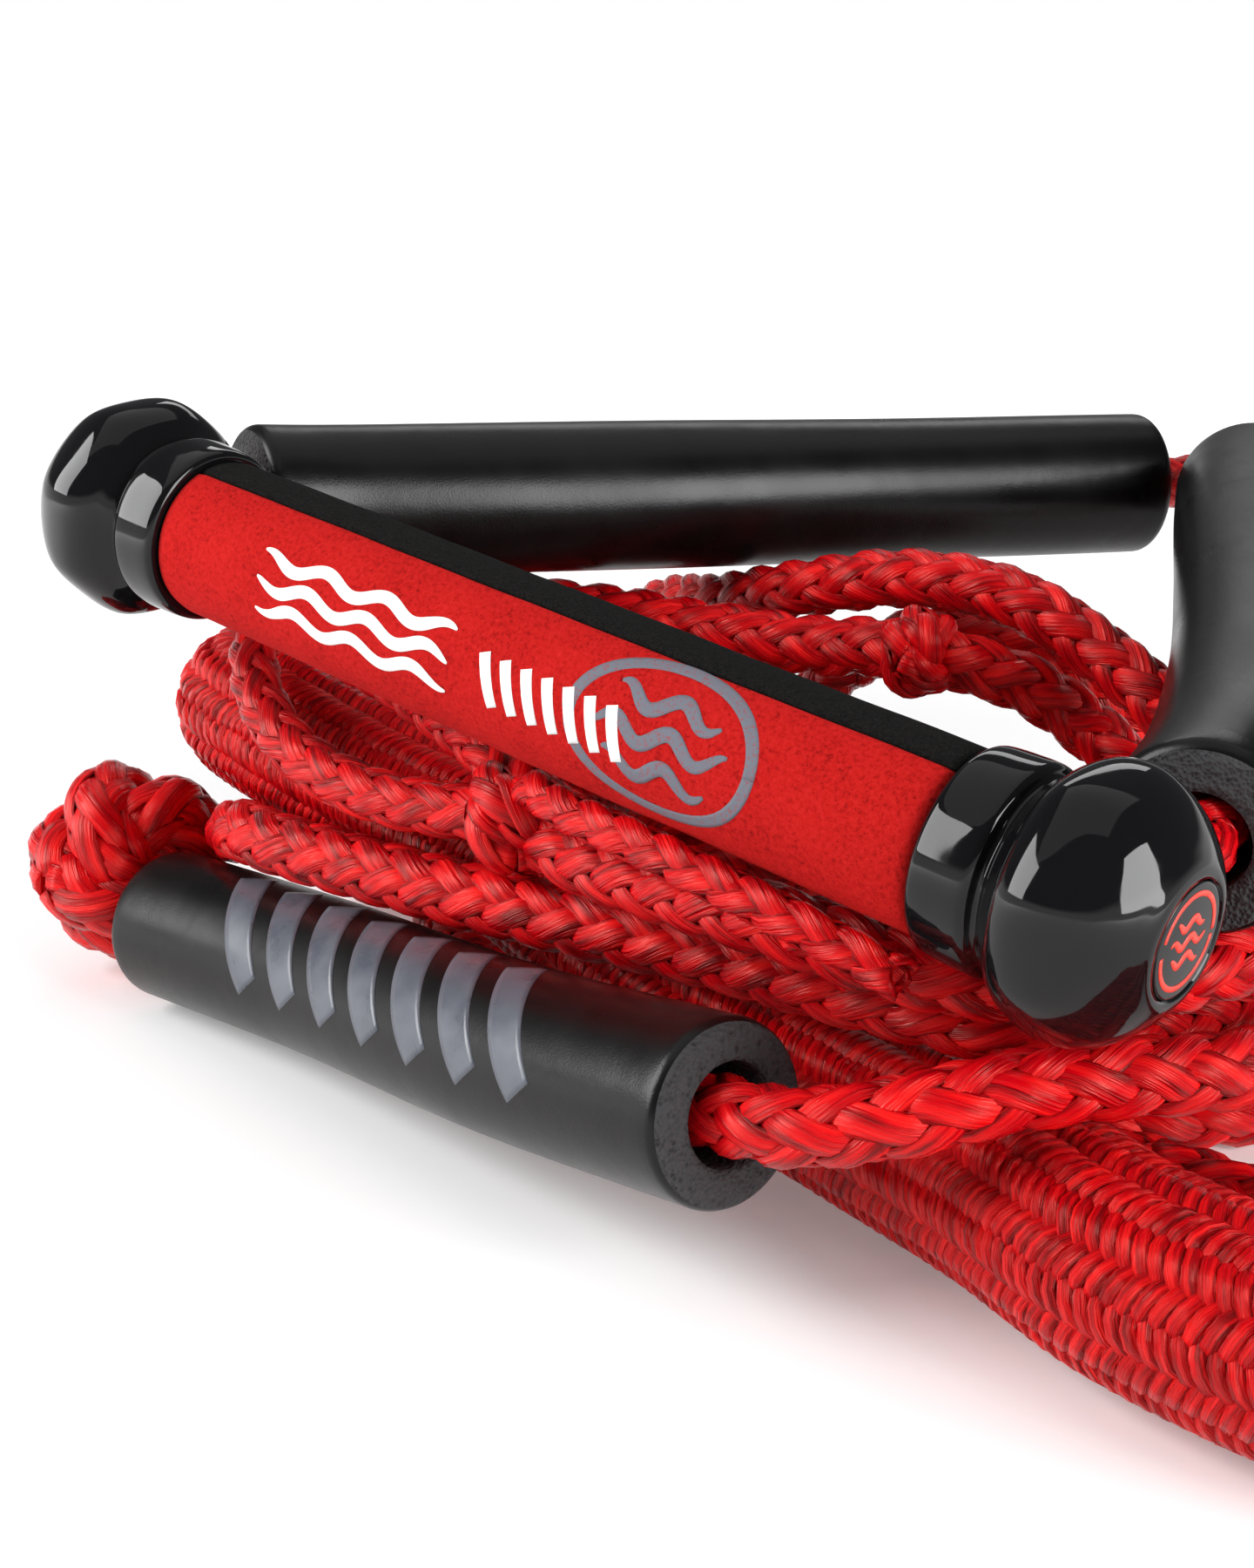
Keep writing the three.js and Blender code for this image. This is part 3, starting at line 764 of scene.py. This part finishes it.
def make_cap(side, name, node):
    """The end cap: a turned collar and a ball with eight soft facets, bored from the back for the rope."""
    angle = 2 * math.pi * np.arange(CAP_SIDES) / CAP_SIDES
    rings = []
    for x, r in refined_outline():
        on_ball = x > NECK and r > END_HOLE_R
        soft = math.exp(-(((x - BALL_MIDDLE) / BALL_FADE) ** 2)) if on_ball else 0.0
        facet = 1 - 0.034 * soft * np.abs(np.cos(4 * angle + 0.4)) ** 1.5
        along = side * (GRIP_LENGTH / 2 + x)
        rings.append([on_bar(along, math.degrees(a), r * f) for a, f in zip(angle, facet)])
    rings = np.array(rings)
    if side > 0:
        rings = rings[:, ::-1]
    u, v = np.linspace(0, 1, CAP_SIDES + 1), np.linspace(0, 1, len(rings))
    cap = make_object(name, [(rings, u, v)], CAP_GLOSS, "handle")
    hole = cap_hole(side)
    bore = [[hole + np.array([r * math.cos(a), y, r * math.sin(a)]) for a in angle[::2]] for y, r in CAP_BORE]
    bore = np.array(bore)[:, ::-1]
    cutter = make_object(name + "_cutter", [(bore, u[::2], v[: len(bore)])], CAP_GLOSS, "handle")
    modifier = cap.modifiers.new("bore", "BOOLEAN")
    modifier.operation, modifier.solver, modifier.object = "DIFFERENCE", "EXACT", cutter
    graph = bpy.context.evaluated_depsgraph_get()
    bored = bpy.data.meshes.new_from_object(cap.evaluated_get(graph))
    cap.modifiers.clear()
    cap.data = bored
    bpy.data.objects.remove(cutter)
    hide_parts(node)


def make_badge(side, name, node):
    """The cap's flat end: a black disc with a plain printed ring and three waves."""
    sides = 72
    angle = 2 * math.pi * np.arange(sides) / sides
    base = side * (GRIP_LENGTH / 2 + CAP_LENGTH)
    section = [
        (-0.75, 0.02), (-0.75, BADGE_R), (-0.2, BADGE_R), (-0.05, BADGE_R - 0.15), (0.0, BADGE_R - 0.5),
        (0.0, 0.02),
    ]
    rings = []
    for x, r in section:
        rings.append([on_bar(base + side * x, math.degrees(a), r) for a in angle])
    rings = np.array(rings)
    if side > 0:
        rings = rings[:, ::-1]
    u, v = np.linspace(0, 1, sides + 1), np.linspace(0, 1, len(rings))
    disc = make_object(name, [(rings, u, v)], CAP_GLOSS, "handle")
    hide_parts(node)

    def face(a, b, height):
        return BAR_CENTRE + (base + side * height) * BAR_AXIS + a * BAR_BACK + b * BAR_TOP

    def printed(points, widths):
        return strip_on(face, points, widths, 0.05, depth=0.1, across=3)

    turn = np.linspace(0, 2 * math.pi, 61)
    ring = 7.2 * np.stack([np.cos(turn), np.sin(turn)], 1)
    strips = [printed(arc, 0.9) for arc in (ring[:29], ring[31:60])]
    for x, y, widths in three_waves((3.9, 4.9, 3.9), 25, 0.7, 1.3, 0.5, 2.8, 1.2, 0.03, 0.15):
        strips.append(printed(np.stack([x, y], 1), widths))
    make_object(name + "_waves", strips, BADGE_INK, "handle")


# --- rope -----------------------------------------------------------------------------------------
LEADS, BIGHTS = 3, 4  # a knot's rope goes three times round the ring's hole, and four times through it


def make_knot(name, node, body, centre, ring_r, tube_r, rope_r, tall, axis, spin, **kwargs):
    """A knot drawn as one rope that winds round a ring, whose hole lies along axis. ring_r and tube_r are the
    radii of the ring and of the winding, tall how much higher than wide that is, and spin its start."""
    t = np.linspace(0, 2 * math.pi, 360)
    radius, turn = ring_r + tube_r * np.cos(BIGHTS * t), LEADS * t + spin
    height = tall * tube_r * np.sin(BIGHTS * t)
    flat = np.stack([radius * np.cos(turn), radius * np.sin(turn), height], 1)
    axis = unit(np.array(axis, float))
    side = unit(np.cross(axis, [0.3, 0.2, 1.0]))
    points = np.array(centre) + flat @ np.stack([side, np.cross(axis, side), axis])
    made = make_object(name, plait(Line(points, 0.7), rope_r, **kwargs), RED_ROPE, body)
    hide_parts(node)


def make_knots():
    small = {"pairs": 4, "thick": 1.6, "lift": 0.8, "step": 1.2}
    knots = [
        ("stopper", "stopper_knot", "rope_pile", STOPPER, 8.6, 6.2, 7.6, 1.6, (0.9, -0.2, 0.35), 0.4, {}),
        ("knot_front", "front_knot", "rope_pile", FRONT_KNOT, 4.3, 2.9, 4.7, 1.5, (0.9, 0.3, 0.2), 0.9, small),
        ("knot_rear", "rear_knot", "rope_pile", REAR_KNOT, 3.5, 2.3, 4.2, 1.5, (1, 0.1, 0.1), 0.2, small),
        ("knot_apex", "apex_knot", "bridle", APEX, 4.7, 2.9, 5.4, 1.6, (0.3, 1, 0.1), 0.6, {}),
    ]
    for *placing, strands in knots:
        make_knot(*placing, **strands)


HANK_CENTRE, HANK_HALF = np.array([0.0, 104.0]), 55.0  # its middle, and half the length of its straights
TURN_R = (54.3, 42.0, 29.7)  # the radii of its turns at the bends
LAYER_Z = (6.5, 19.0)


def hank_points():
    """The turns of the hank, clockwise from above: three in the lower layer working inwards, then three in
    the upper layer working outwards. A turn changes place on the rear straight, or as a left bend ends."""
    points = []

    def smooth(f):
        return f * f * (3 - 2 * f)

    def straight(front, r_from, r_to, z_from, z_to, start=-HANK_HALF, stop=HANK_HALF, over=(0.0, 1.0)):
        for f in np.linspace(0, 1, 12)[:-1]:
            g = smooth(min(max((f - over[0]) / (over[1] - over[0]), 0), 1))
            x = start + (stop - start) * f
            r = r_from + (r_to - r_from) * g
            z = z_from + (z_to - z_from) * g
            points.append([-x if front else x, (-r if front else r), z])

    def bend(left, r_from, z, r_to=None):
        for f in np.linspace(0, 1, 16)[:-1]:
            shift = 0 if r_to is None else (r_to - r_from) * smooth(min(max((f - 0.55) / 0.45, 0), 1))
            a = math.pi * f
            r = r_from + shift
            x = -HANK_HALF - r * math.sin(a) if left else HANK_HALF + r * math.sin(a)
            points.append([x, (-r if left else r) * math.cos(a), z])

    outer, middle, inner = TURN_R
    low, high = LAYER_Z
    straight(True, outer, outer, low, low)
    bend(True, outer, low)
    straight(False, outer, middle, low, low, over=(0.45, 1.0))
    bend(False, middle, low)
    straight(True, middle, middle, low, low)
    bend(True, middle, low)
    straight(False, middle, inner, low, low, over=(0.45, 1.0))
    bend(False, inner, low)
    straight(True, inner, inner, low, low)
    bend(True, inner, low)
    straight(False, inner, inner, low, high, over=(0.02, 0.5))
    bend(False, inner, high)
    straight(True, inner, inner, high, high)
    bend(True, inner, high, middle)
    straight(False, middle, middle, high, high)
    bend(False, middle, high)
    straight(True, middle, middle, high, high)
    bend(True, middle, high, outer)
    straight(False, outer, outer, high, high, stop=24.0)
    points = np.array(points)
    points[:, :2] += HANK_CENTRE
    return points.tolist()


def make_long_rope():
    """One rope from the woven section through the hank and the float to the stopper knot, as three pieces."""
    in_woven_end, in_stopper = [172, -4.6, 18], [-120, 8, 19.5]
    into_hank = [[94, 49.7, 7.0], [74, 49.7, 6.6]]
    out_of_hank = [[48, 158.4, 22.2], [70, 155.8, 28.0], [88, 145, 33.0]]
    joined = [in_woven_end] + LINK[:-1] + into_hank + hank_points() + out_of_hank + TAIL_RUN[::-1] + [in_stopper]
    line = Line(spline(joined, 10))
    link_end, coil_end = line.nearest(into_hank[0]), line.nearest(TAIL_RUN[-1])
    spans = [
        ("rope_link", 0.0, link_end, ["link_rope"], "object", "loose", 1.9, 10),
        ("rope_hank_turns", link_end, coil_end, ["rope_hank"], "object", "coiled", 3.0, 8),
        ("rope_tail", coil_end, line.length, ["tail_run"], "knot", "loose", 1.9, 10),
    ]
    for name, s0, s1, nodes, far_end, lay, step, around in spans:
        tubes = plait(line, ROPE_R, s0, s1, step=step, around=around)
        made = make_object(name, tubes, RED_ROPE, "rope_pile")
        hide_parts(*nodes)
        declare(made, line, far_end, lay=lay, s0=s0, s1=s1)


# Each run goes on for a few millimetres inside the knot or sleeve that hides its end.
EYE_SEEN = [[4.5, 103.2, 75]] + EYE_RUN + [[-17, 5.5, 58.8]]
EYE_STRAND_SEEN = EYE_TAIL + [[-15, 7, 62.5]]
SPLICE_TAIL_SEEN = [[-9.5, 3.6, 62.5]] + SPLICE_TAIL
LEAD_SEEN = [[-10, 104, 46]] + LEAD + [[22, 241.8, 94.6]]
TOP_AND_FRONT = [[-7, 5, 58]] + TOP_RUN + FRONT_RUN + [[9.5, 105.5, 74.5]]
REAR_BIGHT = [
    [-70, 150, 32.5], [-50, 139, 45], [-30, 130, 62], [-8, 128, 72], [9.7, 137, 71], [19.3, 149, 62],
    [26, 160, 48], [22, 169, 34], [6, 172, 22], [-14, 172, 12], [-38, 172, 7],
]


def eye_radius(s):
    """The eye is opened rope where it shows under the grip, and full rope behind."""
    return ROPE_R - 1.1 * np.clip((s - 70) / 60, 0, 1)


def make_ropes():
    both = Line(spline(TOP_AND_FRONT))
    join = both.nearest(FRONT_RUN[0])
    for name, s0, s1, node, far_end in [
        ("rope_top_run", 0.0, join, "top_run", "object"),
        ("rope_front_run", join, both.length, "front_run", "knot"),
    ]:
        made = make_object(name, plait(both, ROPE_R, s0, s1), RED_ROPE, "rope_pile")
        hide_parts(node)
        declare(made, both, far_end, s0=s0, s1=s1)
    made, line = rope("rope_eye", EYE_SEEN, "eye_run", radius=eye_radius)
    declare(made, line, "knot")
    made, line = rope("rope_lead", LEAD_SEEN, "lead_rope")
    declare(made, line, "knot")
    rope("rope_eye_strand", EYE_STRAND_SEEN, "eye_tail", radius=5.0, thick=1.8, lift=0.9)
    slim = {"radius": 4.0, "pairs": 4, "thick": 1.5, "lift": 0.8}
    made, line = rope("rope_splice_tail", SPLICE_TAIL_SEEN, "splice_tail", **slim)
    declare(made, line, "object")
    make_long_rope()
    made, line = rope("rope_rear_bight", REAR_BIGHT, "rope_hank")
    declare(made, line, "object")


def make_woven():
    """The thick woven section with its two tapered ends: one plait in three pieces."""
    rear, front = [-3.6, 104.5, 46], [179, -4.1, 18]
    line = Line(spline([rear] + WOVEN + [front]))
    start = np.linalg.norm(np.array(rear) - np.array(WOVEN[0]))
    stop = line.length - np.linalg.norm(np.array(front) - np.array(WOVEN[-1]))

    end_r = 7.4

    def radius(s):
        near_end = np.minimum(s / start, (line.length - s) / (line.length - stop))
        f = np.clip(near_end, 0, 1)
        return end_r + (WOVEN_R - end_r) * np.sin(f * math.pi / 2) ** 0.9

    spans = [
        ("woven_rear_end", 0, start, "woven_whip_rear"),
        ("woven_rope", start, stop, "woven_section"),
        ("woven_front_end", stop, line.length, "woven_whip_front"),
    ]
    weave = {"pairs": 16, "lay": 1.2, "thick": 2.3, "lift": 1.1, "step": 0.9, "around": 6, "fill": 1.3}
    for name, s0, s1, node in spans:
        made = make_object(name, plait(line, radius, s0, s1, **weave), RED_ROPE, "rope_pile")
        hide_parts(node)


# side, name, the points of the foam's line, and where the rope comes out of it before the apex knot
ARMS = [(-1, "left", LEFT_ARM, [7.2, 230.8, 95]), (1, "right", RIGHT_ARM, [21.3, 228, 96.5])]


def make_bridle():
    for side, name, arm, last in ARMS:
        foam = "foam_" + name
        _, line = foam_tube(foam, arm, FOAM_R, FOAM_BORE_R, "bridle_" + foam, name + "_foam")
        hole = cap_hole(side)
        mouth, along = line.points[0], line.tangents[0]
        halfway = [hole[0] + 0.8 * side, 13, (2 * hole[2] + mouth[2]) / 3]
        stub = [hole + [0, -1.6, 0], hole + [0, 6, 0], halfway, mouth - 5 * along, mouth]
        stub_name, stub_node = "bridle_rope_at_cap_" + name, "bridle_stub_" + name
        bent, _ = rope(stub_name, stub, stub_node, body=None, radius=ROPE_R - 0.1)
        place(hole + np.array([0, 9, 0]))
        place(mouth - 1 * along)
        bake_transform(bent)
        inside = (np.array(last) + np.array(APEX)) / 2
        through = [mouth] + arm[1:] + [last, inside]
        rope("bridle_rope_" + name, through, "bridle_rope_" + name, body="bridle", step=2.4)


def make_float():
    _, line = foam_tube("float_foam", FLOAT_LINE, FLOAT_R, FLOAT_BORE_R, "tail_float", "float", uneven=0.3)
    up = np.array([0, 0, 1.0])

    def surface(along, arc, height):
        """A point on the float: arc is the length round it from its top, towards the handle."""
        centre, tangent, _, _ = line.at(np.array([along]))
        centre, tangent = centre[0], tangent[0]
        top = unit(up - up.dot(tangent) * tangent)
        back = np.cross(top, tangent)
        a = arc / FLOAT_R
        return centre + (FLOAT_R + height) * (math.cos(a) * top + math.sin(a) * back)

    first, pitch, lean, width = 39.7, 14.95, 8.8, 7.6
    arcs = np.radians(np.linspace(4, -87, 26)) * FLOAT_R
    stripes = []
    for i in range(7):
        along = first + pitch * i + np.linspace(-lean, lean, 26)
        stripes.append(strip_on(surface, np.stack([along, arcs], 1), width, 0.09, depth=0.25, across=7))
    make_object("float_stripes", stripes, stripe_material(), "float")


# --- making ---------------------------------------------------------------------------------------
RED_ROPE = rope_material("rope_red", (0.17, 0.0, 0.002), (0.55, 0.0, 0.004), (0.86, 0.008, 0.008))
FOAM_SKIN, FOAM_CUT = foam_skin_material(), foam_cut_material()
CAP_GLOSS = cap_material()
BADGE_INK = moulded_material("badge_ink", (0.72, 0.05, 0.03), 0.4)

make_camera()
make_studio()
make_ropes()
make_woven()
make_knots()
make_bridle()
make_float()
make_grip()
for sign, tag in ((-1, "left"), (1, "right")):
    make_cap(sign, "cap_" + tag, "end_cap_" + tag)
    make_badge(sign, "badge_disc_" + tag, "cap_badge_" + tag)

# The CAD nodes that still show keep their shape and get these finishes, by material slot.
finishes = {
    "bar": moulded_material("bar_aluminium", (0.72, 0.73, 0.75), 0.32, 1.0),
    "core_foam": moulded_material("core_white_foam", (0.8, 0.8, 0.77), 0.8),
    "grip_foam": moulded_material("grip_base_foam", (0.03, 0.03, 0.032), 0.85),
    "nylon": moulded_material("nylon_black", (0.02, 0.02, 0.02), 0.5),
}
for entry in frame["record"]["subparts"]:
    node = frame["nodes"][entry["node"]]
    if entry["material_slot"] in finishes:
        node.data.materials.clear()
        node.data.materials.append(finishes[entry["material_slot"]])

bpy.context.view_layer.update()
